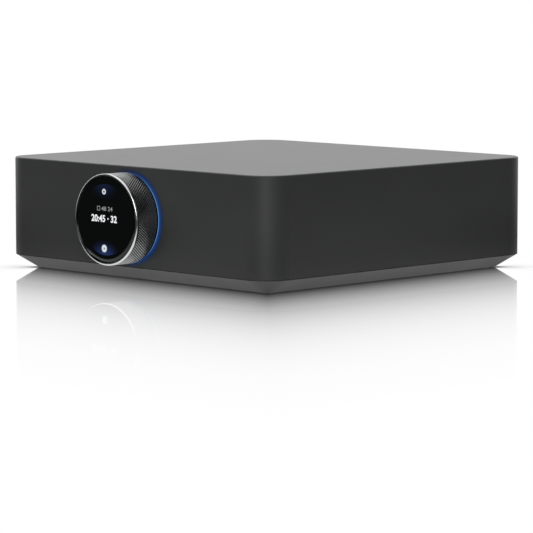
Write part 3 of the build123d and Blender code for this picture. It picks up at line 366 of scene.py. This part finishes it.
# Cover glass with the lit display behind it: a ring above, a disc below, and their blue glow
def cover_glass():
    made = finish("cover_glass")
    place = made.place(centre=(0.0, 0.0, dial_z))
    flat = made.vector("MULTIPLY", place, (1.0, 0.0, 1.0))

    def from_point(x, z):
        return made.vector("DISTANCE", flat, (x, 0.0, z), "Value")

    def from_sight(z):
        return from_point(sight, z)

    def round_shape(away, size):
        soft = 0.12 * millimetre
        return away.fade(size - soft, size + soft, 1.0, 0.0)

    radius = from_point(0.0, 0.0)
    top = from_sight(ring_height)
    low = from_sight(disc_height)
    ring = round_shape(top, ring_outer)
    hole = round_shape(top, ring_inner)
    disc = round_shape(low, disc_radius)
    dot = round_shape(low, dot_radius)
    lit = ring - hole + disc - dot * 0.9
    inside = radius.fade(lit_radius - 0.4 * millimetre, lit_radius, 1.0, 0.0)
    wide = made.vector("MULTIPLY", flat, (glow_squeeze, 0.0, 1.0))

    def glow_from(z):
        away = made.vector("DISTANCE", wide, (sight * glow_squeeze, 0.0, z), "Value")
        return away.fade(0.0, glow_reach, 1.0, 0.0) * inside

    halo = glow_from(lower_glow_height) + glow_from(upper_glow_height) * 0.3
    glow = made.tint(halo, (0.0, 0.0, 0.0), (0.015, 0.030, 0.105))
    smear = made.noise(9 * millimetre, 3.0)
    shaped = made.node("ShaderNodeNewGeometry", output="Normal")

    # The bevel is shaded as if flat at its upper left; the glass's side wall is left as it is
    lower = made.vector("DOT_PRODUCT", place, (0.62, 0.0, -0.78), "Value").fade(0.0, 14 * millimetre)
    kept = made.math("MAXIMUM", lower, made.along(shaped, 1).fade(-0.6, -0.5))
    made.surface({
        "Base Color": made.tint(smear, (0.0006, 0.0012, 0.0013), (0.0010, 0.0018, 0.0019)),
        "Roughness": smear.fade(0.3, 0.7, 0.03, 0.06),
        "Specular IOR Level": 0.5,
        "Normal": made.blend(kept, (0.0, -1.0, 0.0), shaped),
        "Emission Color": made.tint(lit, glow, (0.66, 0.70, 0.73)),
        "Emission Strength": 1.0,
    })
    return made.owner


def lit_figures(name, dark, light):
    made = finish(name)
    grain = made.noise(0.2 * millimetre, 1.0)
    made.surface({
        "Base Color": (0.02, 0.02, 0.02, 1.0),
        "Roughness": 0.5,
        "Emission Color": made.tint(grain, dark, light),
        "Emission Strength": 1.0,
    })
    return made.owner


# Light ring: bright inside its outer edge, with painted light making it brightest on the right
def light_plastic():
    made = finish("light_plastic")
    place = made.place(centre=(0.0, 0.0, dial_z))
    radius = made.from_axis(place)
    cloud = made.noise(2.5 * millimetre, 2.0)
    # Painted light: the ring is painted brighter towards the right
    side = made.along(place, 0).fade(0.0, 20 * millimetre, 0.1, 1.0)
    rim = radius.fade(ring_radius - 0.85 * millimetre, ring_radius - 0.65 * millimetre, 1.0, 0.0)
    lit = made.tint(rim * side, (0.006, 0.032, 0.125), (0.080, 0.205, 0.450))
    made.surface({
        "Base Color": made.tint(cloud, (0.010, 0.020, 0.045), (0.014, 0.026, 0.055)),
        "Roughness": cloud.fade(0.3, 0.7, 0.38, 0.48),
        "Specular IOR Level": 0.3,
        "Emission Color": lit,
        "Emission Strength": 1.0,
    })
    return made.owner


def circuit_board():
    made = finish("circuit_board")
    tracks = made.cells(4.2 * millimetre, "DISTANCE_TO_EDGE", (1.0, 1.6, 0.02))
    vias = made.cells(3.1 * millimetre, "F1", (1.0, 1.0, 0.02))
    track = tracks.fade(0.02, 0.05, 1.0, 0.0)
    via = vias.fade(0.09, 0.13, 1.0, 0.0)
    cloud = made.noise(8 * millimetre, 2.0)
    mask = made.tint(cloud, (0.004, 0.030, 0.014), (0.007, 0.042, 0.020))
    lined = made.tint(track, mask, (0.010, 0.075, 0.035))
    made.surface({
        "Base Color": made.tint(via, lined, (0.55, 0.42, 0.16)),
        "Roughness": via.fade(0.0, 1.0, 0.32, 0.22),
        "Metallic": via * 0.9,
        "Normal": made.bump(track + via, 0.03 * millimetre, 0.6),
    })
    return made.owner


def phono_plastic():
    """White inserts on the left, red on the right, as seen from behind."""
    made = finish("phono_plastic")
    inserts_low, inserts_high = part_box("phono_inserts")
    across = made.along(made.place(), 0)
    middle = (inserts_low.x + inserts_high.x) / 2
    side = across.fade(middle - 0.1 * millimetre, middle + 0.1 * millimetre)
    cloud = made.noise(1.5 * millimetre, 2.0)
    made.surface({
        "Base Color": made.tint(side, (0.45, 0.012, 0.012), (0.62, 0.62, 0.60)),
        "Roughness": cloud.fade(0.3, 0.7, 0.34, 0.42),
        "Normal": made.bump(cloud, 0.01 * millimetre, 0.4),
    })
    return made.owner


def turned_metal(name, dark, light, roughness, pitch, stretch=(1.0, 1.0, 1.0)):
    """Metal with fine machining lines."""
    made = finish(name)
    lines = made.noise(pitch, 2.0, stretch=stretch)
    cloud = made.noise(14 * millimetre, 2.0)
    made.surface({
        "Base Color": made.tint(lines * 0.6 + cloud * 0.4, dark, light),
        "Metallic": 1.0,
        "Roughness": lines.fade(0.3, 0.7, roughness - 0.03, roughness + 0.03),
        "Normal": made.bump(lines, 0.003 * millimetre, 0.4),
    })
    return made.owner


def socket_metal():
    """Bright sheet metal outside; black plastic in the throat of the network socket."""
    made = finish("socket_metal")
    low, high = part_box("ethernet_jack")
    throat_middle = ((low.x + high.x) / 2, high.y - throat_depth, low.z + throat_height)
    away = made.vector("ABSOLUTE", made.place(centre=throat_middle), (0.0, 0.0, 0.0))
    past = made.vector("SUBTRACT", away, throat_half)
    across, inward, upward = (made.along(past, axis) for axis in range(3))
    worst = made.math("MAXIMUM", across, made.math("MAXIMUM", inward, upward))
    throat = worst.fade(-0.01 * millimetre, 0.01 * millimetre, 1.0, 0.0)
    lines = made.noise(0.25 * millimetre, 2.0, stretch=(1.0, 0.2, 1.0))
    metal = made.tint(lines, (0.50, 0.49, 0.47), (0.58, 0.57, 0.55))
    made.surface({
        "Base Color": made.tint(throat, metal, (0.012, 0.012, 0.012)),
        "Metallic": 1.0 - throat,
        "Roughness": lines.fade(0.3, 0.7, 0.24, 0.30),
        "Normal": made.bump(lines, 0.002 * millimetre, 0.3),
    })
    return made.owner


def striped(name, dark, light, width, axis, roughness):
    """Tape or film with even lines across one axis."""
    made = finish(name)
    across = made.along(made.place(), axis)
    wave = made.math("SINE", across * (tau / width))
    cloud = made.noise(6 * millimetre, 2.0)
    made.surface({
        "Base Color": made.tint((wave * 0.5 + 0.5) * 0.5 + cloud * 0.5, dark, light),
        "Roughness": cloud.fade(0.3, 0.7, roughness - 0.05, roughness + 0.05),
        "Normal": made.bump(wave, 0.02 * millimetre, 0.5),
    })
    return made.owner


def plain_name(material):
    """A material's name, without a number added to it."""
    return material.name.split(".")[0]


finishes = {plain_name(made): made for made in (
    case_aluminium(),
    grained(
        "tray_paint", grey(0.093), (0.105, 0.108, 0.106), 0.3 * millimetre, 0.02 * millimetre, 0.46,
        Specular_IOR_Level=0.22,
    ),
    grained("foot_rubber", grey(0.012), grey(0.022), 0.5 * millimetre, 0.05 * millimetre, 0.85),
    turned_metal("screw_steel", (0.09, 0.09, 0.095), (0.16, 0.16, 0.165), 0.34, 0.4 * millimetre),
    grained("panel_plastic", grey(0.009), grey(0.015), 0.35 * millimetre, 0.05 * millimetre, 0.58),
    grained("socket_plastic", grey(0.007), grey(0.012), 0.5 * millimetre, 0.01 * millimetre, 0.36),
    socket_metal(),
    turned_metal("gold_plate", (0.70, 0.47, 0.16), (0.86, 0.62, 0.24), 0.18, 0.5 * millimetre),
    dial_aluminium(),
    polished_lip(),
    grained("bearing_plastic", grey(0.55), (0.66, 0.66, 0.63), 0.6 * millimetre, 0.01 * millimetre, 0.5),
    grained("magnet", grey(0.022), grey(0.045), 0.25 * millimetre, 0.03 * millimetre, 0.6),
    turned_metal("hub_aluminium", grey(0.24), (0.36, 0.36, 0.37), 0.32, 0.5 * millimetre),
    cover_glass(),
    grained("display_face", grey(0.004), grey(0.008), 0.4 * millimetre, 0.005 * millimetre, 0.3),
    light_plastic(),
    circuit_board(),
    grained("lamp_body", (0.75, 0.75, 0.70), (0.85, 0.84, 0.70), 0.5 * millimetre, 0.01 * millimetre, 0.4),
    grained("chip_plastic", grey(0.010), grey(0.020), 0.3 * millimetre, 0.02 * millimetre, 0.5),
    turned_metal("sink_aluminium", grey(0.34), (0.46, 0.46, 0.47), 0.36, 0.6 * millimetre, (9.0, 1.0, 9.0)),
    grained("ferrite", grey(0.018), (0.034, 0.034, 0.036), 0.3 * millimetre, 0.03 * millimetre, 0.55),
    striped("winding_tape", (0.50, 0.36, 0.05), (0.66, 0.50, 0.10), 5 * millimetre, 1, 0.3),
    grained(
        "capacitor_sleeve", (0.010, 0.011, 0.020), (0.020, 0.021, 0.034), 0.9 * millimetre,
        0.01 * millimetre, 0.28,
    ),
    turned_metal("module_can", grey(0.42), (0.56, 0.56, 0.55), 0.3, 1.2 * millimetre, (1.0, 4.0, 1.0)),
    striped("ribbon_film", (0.36, 0.17, 0.03), (0.52, 0.30, 0.07), 1 * millimetre, 0, 0.28),
    grained(
        "cap_red", (0.28, 0.008, 0.008), (0.38, 0.014, 0.012), 0.6 * millimetre, 0.01 * millimetre, 0.3,
        Coat_Weight=0.3,
    ),
    grained("cap_black", grey(0.008), grey(0.014), 0.6 * millimetre, 0.01 * millimetre, 0.3, Coat_Weight=0.3),
    phono_plastic(),
)}
white_figures = lit_figures("white_figures", (0.84, 0.87, 0.88), (0.92, 0.94, 0.95))
grey_figures = lit_figures("grey_figures", (0.24, 0.25, 0.25), (0.30, 0.31, 0.31))

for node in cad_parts.values():
    for holder in node.material_slots:
        name = plain_name(holder.material)
        if name in finishes:
            holder.material = finishes[name]


# Shapes

def piece(name, shape, body, slot, material=None):
    """A finished piece from a bmesh, riding on a body."""
    mesh = bpy.data.meshes.new(name)
    shape.to_mesh(mesh)
    shape.free()
    mesh.materials.append(material or finishes[slot])
    made = bpy.data.objects.new(name, mesh)
    bpy.context.scene.collection.objects.link(made)
    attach(made, body)
    return made


def turned(profile, steps):
    """A shape turned about the dial's axis from (ahead, radius) points; a closed one ends where it starts."""
    shape = bmesh.new()
    points = [shape.verts.new((radius, face_y - ahead, dial_z)) for ahead, radius in profile]
    edges = [shape.edges.new(pair) for pair in zip(points, points[1:])]
    bmesh.ops.spin(
        shape, geom=points + edges, cent=(0, face_y, dial_z), axis=(0, 1, 0), angle=tau, steps=steps,
        use_merge=True,
    )
    bmesh.ops.remove_doubles(shape, verts=shape.verts, dist=0.001 * millimetre)
    bmesh.ops.recalc_face_normals(shape, faces=shape.faces)
    return shape


def knurled_grip():
    """The grip, whose knurl is four-sided points: every other vertex of its rows stands in a groove."""
    columns = 2 * knurl_starts
    start = grip_back + collar_width
    end = grip_front - neck_width
    rise = (end - start) / knurl_rows
    land = grip_radius - land_drop
    rows = [(start + row * rise, grip_radius) for row in range(knurl_rows + 1)]
    profile = [
        (recess_front, bushing_radius),
        (recess_front, recess_radius),
        (grip_back, recess_radius),
        (grip_back, land - collar_break),
        (grip_back + collar_break, land),
        (start, land),
        *rows,
        (end, land),
        (grip_front, land),
        (grip_front, grip_bore),
        (web_front, grip_bore),
        (web_front, bushing_radius),
        (recess_front, bushing_radius),
    ]
    shape = turned(profile, columns)
    low = set()
    high = set()
    for point in shape.verts:
        across = Vector((point.co.x, 0, point.co.z - dial_z))
        if across.length < grip_radius - 0.1 * millimetre:
            continue
        row = round((face_y - point.co.y - start) / rise)
        column = round(atan2(across.z, across.x) / (tau / columns))
        if (row + column) % 2:
            low.add(point)
            across *= (grip_radius - knurl_depth) / grip_radius
            point.co.x, point.co.z = across.x, dial_z + across.z
        else:
            high.add(point)
    for face in list(shape.faces):
        valley = [point for point in face.verts if point in low]
        peaks = [point for point in face.verts if point in high]
        if len(valley) == 2 and len(peaks) == 2:
            bmesh.utils.face_split(face, *valley)
    return shape


def bevelled_glass():
    """The cover glass: flat, then falling away to its edge."""
    profile = [
        (glass_front, 0.0),
        (glass_front, glass_flat),
        (glass_front - glass_fall, glass_radius),
        (glass_back, glass_radius),
        (glass_back, 0.0),
    ]
    return turned(profile, glass_steps)


def rounded_lip():
    """The bright lip round the glass: a ring with a rounded front."""
    trim_radius = (trim_high.x - trim_low.x) / 2
    back = face_y - trim_high.y
    front = face_y - trim_low.y
    arc = [
        (front - lip_bend * (1 - cos(turn)), trim_radius - lip_bend * (1 - sin(turn)))
        for turn in (pi / 2 * step / lip_steps for step in range(lip_steps + 1))
    ]
    profile = [(back, grip_bore), (front, grip_bore), *arc, (back, trim_radius), (back, grip_bore)]
    return turned(profile, lip_turns)


grip = piece("knurled_grip", knurled_grip(), "dial", "dial_aluminium")
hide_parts("dial_grip")
glass = piece("bevelled_glass", bevelled_glass(), "chassis", "cover_glass")
for polygon in glass.data.polygons:
    polygon.use_smooth = -0.999 < polygon.normal.y < -0.5
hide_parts("cover_glass")
lip = piece("rounded_lip", rounded_lip(), "dial", "polished_lip")
for polygon in lip.data.polygons:
    polygon.use_smooth = -0.999 < polygon.normal.y < -0.05
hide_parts("dial_trim")


def lofted(shape, placed, rings):
    """Closed rings joined in turn: each is (height, radius, sides), where no sides means round."""
    rows = []
    for height, radius, sides in rings:
        row = []
        for step in range(ring_points):
            turn = tau * step / ring_points
            reach = radius
            if sides:
                part = tau / sides
                reach *= cos(part / 2) / cos((turn + part / 2) % part - part / 2)
            row.append(shape.verts.new(placed @ Vector((reach * cos(turn), reach * sin(turn), height))))
        rows.append(row)
    for lower, upper in zip(rows, rows[1:]):
        for step in range(ring_points):
            after = (step + 1) % ring_points
            shape.faces.new((lower[step], lower[after], upper[after], upper[step]))
    shape.faces.new(rows[0][::-1])
    shape.faces.new(rows[-1])


def screws(name, body, places, facing, rings):
    """Screws at these places in one piece, with their heads facing one way."""
    shape = bmesh.new()
    for spot in places:
        lofted(shape, Matrix.Translation(spot) @ facing, rings)
    bmesh.ops.recalc_face_normals(shape, faces=shape.faces)
    made = piece(name + "_cut", shape, body, "screw_steel")
    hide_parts(name)


back_low, back_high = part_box("panel_screws")
length = back_high.y - back_low.y
screws(
    "panel_screws", "chassis",
    [
        (x, back_low.y, z)
        for x in (back_low.x + panel_head, (back_low.x + back_high.x) / 2, back_high.x - panel_head)
        for z in (back_low.z + panel_head, back_high.z - panel_head)
    ],
    Matrix.Rotation(radians(-90), 4, "X"),
    [
        (0.0, panel_shaft, 0),
        (length - panel_head_height, panel_shaft, 0),
        (length - panel_head_height, panel_head, 0),
        (length - panel_head_break, panel_head, 0),
        (length, panel_head - panel_head_break, 0),
        (length, panel_recess, recess_sides),
        (length - panel_recess_depth, panel_recess, recess_sides),
    ],
)
under_low, under_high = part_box("base_screws")
length = under_high.z - under_low.z
screws(
    "base_screws", "chassis",
    [
        (x, y, under_high.z)
        for x in (under_low.x + base_head, under_high.x - base_head)
        for y in (under_low.y + base_head, under_high.y - base_head)
    ],
    Matrix.Rotation(radians(180), 4, "X"),
    [
        (0.0, base_shaft, 0),
        (length - base_head_height, base_shaft, 0),
        (length, base_head, 0),
        (length, base_recess, recess_sides),
        (length - base_recess_depth, base_recess, recess_sides),
    ],
)


def bars(name, body, spans):
    """Bars along Y in one piece: each is (left, right, back, back heights, front, front heights)."""
    shape = bmesh.new()
    for left, right, back, (back_low, back_high), front, (front_low, front_high) in spans:
        rows = [
            [shape.verts.new((x, y, z)) for x, z in ((left, low), (right, low), (right, high), (left, high))]
            for y, low, high in ((back, back_low, back_high), (front, front_low, front_high))
        ]
        shape.faces.new(rows[0])
        shape.faces.new(rows[1][::-1])
        for step in range(4):
            after = (step + 1) % 4
            shape.faces.new((rows[0][step], rows[0][after], rows[1][after], rows[1][step]))
    bmesh.ops.recalc_face_normals(shape, faces=shape.faces)
    piece(name, shape, body, "gold_plate")


# The springs rise to the inner end of the network socket
network_low, network_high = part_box("ethernet_jack")
network_x = (network_low.x + network_high.x) / 2
network_end = network_high.y - network_throat
network_floor = network_low.z + network_wall
inner_heights = (network_floor + network_rise, network_floor + network_rise + network_height)
outer_heights = (network_floor - network_sink, network_floor - network_sink + network_height)
bars("network_contacts", "chassis", [
    (
        network_x + (step - (network_count - 1) / 2) * network_pitch - network_half,
        network_x + (step - (network_count - 1) / 2) * network_pitch + network_half,
        network_end - network_half, inner_heights, network_end + network_reach, outer_heights,
    )
    for step in range(network_count)
])
tongue_low, tongue_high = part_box("hdmi_tongue")
tongue_x = (tongue_low.x + tongue_high.x) / 2
upper_heights = (tongue_high.z - picture_rise, tongue_high.z + picture_rise)
lower_heights = (tongue_low.z - picture_rise, tongue_low.z + picture_rise)
bars("picture_contacts", "chassis", [
    (
        tongue_x + (step - (count - 1) / 2) * picture_pitch - picture_half,
        tongue_x + (step - (count - 1) / 2) * picture_pitch + picture_half,
        tongue_low.y + picture_back, heights, tongue_high.y - picture_front, heights,
    )
    for count, heights in ((10, upper_heights), (9, lower_heights))
    for step in range(count)
])


def on_glass(x, z):
    """Stands a flat shape upright just in front of the glass."""
    spot = Matrix.Translation((x, face_y - glass_front - figure_lift, dial_z + z))
    return spot @ Matrix.Rotation(radians(90), 4, "X")


def figure(name, words, size, weight, x, z, material):
    """Lit figures just in front of the glass: a mesh of this width and height, stood upright."""
    width, height = size
    curve = bpy.data.curves.new(name, "FONT")
    curve.body = words
    curve.size = height
    curve.offset = weight
    curve.align_x = "CENTER"
    curve.align_y = "CENTER"
    draft = bpy.data.objects.new(name + "_draft", curve)
    bpy.context.scene.collection.objects.link(draft)
    bpy.context.view_layer.update()
    flat = bpy.data.meshes.new_from_object(draft)
    bpy.data.objects.remove(draft)
    shape = bmesh.new()
    shape.from_mesh(flat)
    bpy.data.meshes.remove(flat)
    across = [point.co.x for point in shape.verts]
    along = [point.co.y for point in shape.verts]
    middle = Vector(((min(across) + max(across)) / 2, (min(along) + max(along)) / 2, 0))
    bmesh.ops.translate(shape, vec=-middle, verts=shape.verts)
    fit = (width / (max(across) - min(across)), height / (max(along) - min(along)), 1)
    bmesh.ops.scale(shape, vec=fit, verts=shape.verts)
    bmesh.ops.transform(shape, matrix=on_glass(x, z), verts=shape.verts)
    piece(name, shape, "chassis", "display_face", material)


figure("display_clock", "20:45 \u00b7 32", clock_size, clock_weight, sight, clock_height, white_figures)
figure("display_level", "48 24", level_size, level_weight, sight + level_aside, level_height, grey_figures)
mark = bmesh.new()
bmesh.ops.create_grid(mark, x_segments=1, y_segments=1, size=square_half)
bmesh.ops.inset_region(mark, faces=mark.faces, thickness=square_line, use_boundary=True)
bmesh.ops.delete(mark, geom=[max(mark.faces, key=lambda face: face.calc_area())], context="FACES")
bmesh.ops.transform(mark, matrix=on_glass(sight + square_aside, level_height), verts=mark.verts)
piece("display_square", mark, "chassis", "display_face", grey_figures)


# Stage and light

# The floor's size, and how far its polish and the corners' painted shadow reach from the plinth's foot
floor_reach = 6.0
plinth_inset = 13.0 * millimetre
polish_reach = 80 * millimetre
shadow_reach = 7 * millimetre

# Where the floor turns from pale or bright to dark, from the middle, and grows bright again behind
pale_reach = (150 * millimetre, 220 * millimetre)
bright_reach = (160 * millimetre, 235 * millimetre)
behind_reach = (100 * millimetre, 600 * millimetre)
# How far across from the middle the painted shadow beside the left and right corners begins
corner_reach = (130 * millimetre, 170 * millimetre)

floor = bpy.data.objects.new("floor", bpy.data.meshes.new("floor"))
ground = bmesh.new()
bmesh.ops.create_grid(ground, x_segments=1, y_segments=1, size=floor_reach)
ground.to_mesh(floor.data)
ground.free()
bpy.context.scene.collection.objects.link(floor)


def floor_finish():
    """White to the camera and polished near the object; pale near it to other rays; clear from below."""
    made = finish("floor")
    place = made.place()

    # How far a place lies outside the plinth's foot, and from the middle
    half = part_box("base_tray")[1].x - plinth_inset
    outside = made.vector("SUBTRACT", made.vector("ABSOLUTE", place, (0, 0, 0)), (half, half, 0.0))
    beyond = made.vector("MAXIMUM", outside, (0, 0, 0))
    gap = made.math("MAXIMUM", made.along(beyond, 0), made.along(beyond, 1))
    far = made.vector("LENGTH", place, (0, 0, 0), "Value")
    polish = made.math("EXPONENT", (gap * (1 / polish_reach)) ** 1.2 * -1.0)

    # What other rays find: diffuse ones a pale floor, glossy ones a bright one near and behind the object
    near = far.fade(*pale_reach, 1.0, 0.0)
    pale = made.node("ShaderNodeBsdfDiffuse", None, {"Color": made.tint(near, grey(0.10), grey(0.45))})
    bright = far.fade(*bright_reach, 1.0, 0.0) * (1.0 - polish * 0.45)
    backward = made.vector("DOT_PRODUCT", place, (-0.707, 0.707, 0.0), "Value")
    behind = backward.fade(*behind_reach, 0.0, 0.7)
    lit = made.math("MAXIMUM", bright, behind)
    table = made.glowing(made.tint(lit, grey(0.05), grey(1.2)))

    # A painted contact shadow at the plinth's foot, and a painted soft shadow beside its left and right
    # corners
    contact_shadow_fade = gap.fade(0.5 * millimetre, 6 * millimetre)
    sides = made.vector("DOT_PRODUCT", place, (1.0, 1.0, 0.0), "Value")
    beside = made.math("ABSOLUTE", sides).fade(*corner_reach)
    corner = made.math("MINIMUM", made.along(outside, 0), made.along(outside, 1))
    corner_shadow_falloff = made.math("EXPONENT", gap * (-1 / shadow_reach))
    shadow = beside * corner.fade(-8 * millimetre, 2 * millimetre) * corner_shadow_falloff * 0.8
    # Painted shadow: the mirror's colour is darkened at the plinth's foot and beside its corners
    held = contact_shadow_fade.fade(0.0, 1.0, 0.3, 1.0) * (1.0 - shadow)

    # What the camera finds: a mirror that turns to white with distance
    mirror = made.node("ShaderNodeBsdfGlossy", None, {"Color": made.plain_colour(held), "Roughness": 0.0})
    matt = made.node("ShaderNodeBsdfDiffuse", None, {"Color": (0.9, 0.9, 0.9, 1)})
    shaded = made.mix(0.06, made.glowing((1, 1, 1, 1)), matt)
    seen = made.mix(polish, shaded, mirror)

    camera_ray = made.ray("Is Camera Ray")
    mirrored = made.ray("Is Glossy Ray") + made.ray("Is Transmission Ray")
    top_side = made.mix(camera_ray, made.mix(mirrored, pale, table), seen)
    under_side = made.node("ShaderNodeNewGeometry", output="Backfacing")
    clear = made.node("ShaderNodeBsdfTransparent")
    made.output(made.mix(under_side, top_side, clear))
    return made.owner


floor.data.materials.append(floor_finish())

# The studio is white to the camera, in the mirror and through glass, and dark with soft lights to the rest
world = bpy.data.worlds.new("studio")
bpy.context.scene.world = world
sky = Finish(world)
ambient_light = 0.32
least_light = 0.015
direction = sky.node("ShaderNodeTexCoord", output="Generated")
height = sky.along(direction, 2)


def light(toward, edge, core, strength):
    """A soft patch of light: none where the cosine to its direction is at the edge, all of it at the core."""
    near = sky.vector("DOT_PRODUCT", direction, Vector(toward).normalized(), "Value")
    return near.fade(edge, core, 0.0, strength)


backdrop = light((-0.66, 0.66, 0.35), 0.50, 0.86, 1.18)
wings = light((-0.707, 0.707, 0.0), 0.36, 0.66, 1.0) * height.fade(0.12, 0.40, 1.3, 0.0)
overhead = light((0.0, -0.4, 0.92), 0.65, 0.95, 1.1)
strip = light((0.55, -0.68, 0.42), 0.94, 0.97, 4.0)
front = light((0.707, -0.707, 0.15), 0.75, 0.98, 0.4)
glossy_ray = sky.ray("Is Glossy Ray")
ambient = (1.0 - glossy_ray) * ambient_light
glow = sky.math("MAXIMUM", backdrop, wings) + overhead + strip + front + ambient + least_light
camera_ray = sky.ray("Is Camera Ray")
through_ray = sky.ray("Is Transmission Ray")
mirror_ray = sky.ray("Is Singular Ray")
seen = sky.math("MAXIMUM", camera_ray, sky.math("MAXIMUM", through_ray, mirror_ray))
studio = sky.tint(seen, sky.plain_colour(glow), (1.0, 1.0, 1.0))
sky.output(sky.node("ShaderNodeBackground", None, {"Color": studio, "Strength": 1.0}))

# Camera, at the photograph's place
azimuth = radians(44.872)
elevation = radians(6.213)
distance = 1.77876
lens = 202.552
aside = -0.173 * millimetre
above = 0.273 * millimetre
backward = Vector((sin(azimuth) * cos(elevation), -cos(azimuth) * cos(elevation), sin(elevation)))
right = Vector((cos(azimuth), sin(azimuth), 0))
aim = right * aside + Vector((0, 0, above))
camera = bpy.data.objects.new("camera", bpy.data.cameras.new("camera"))
camera.data.lens = lens
camera.data.sensor_width = 36
camera.data.clip_end = 50
camera.location = aim + backward * distance
camera.rotation_euler = backward.to_track_quat("Z", "Y").to_euler()
bpy.context.scene.collection.objects.link(camera)
bpy.context.scene.camera = camera

bpy.context.scene.view_settings.view_transform = "Standard"
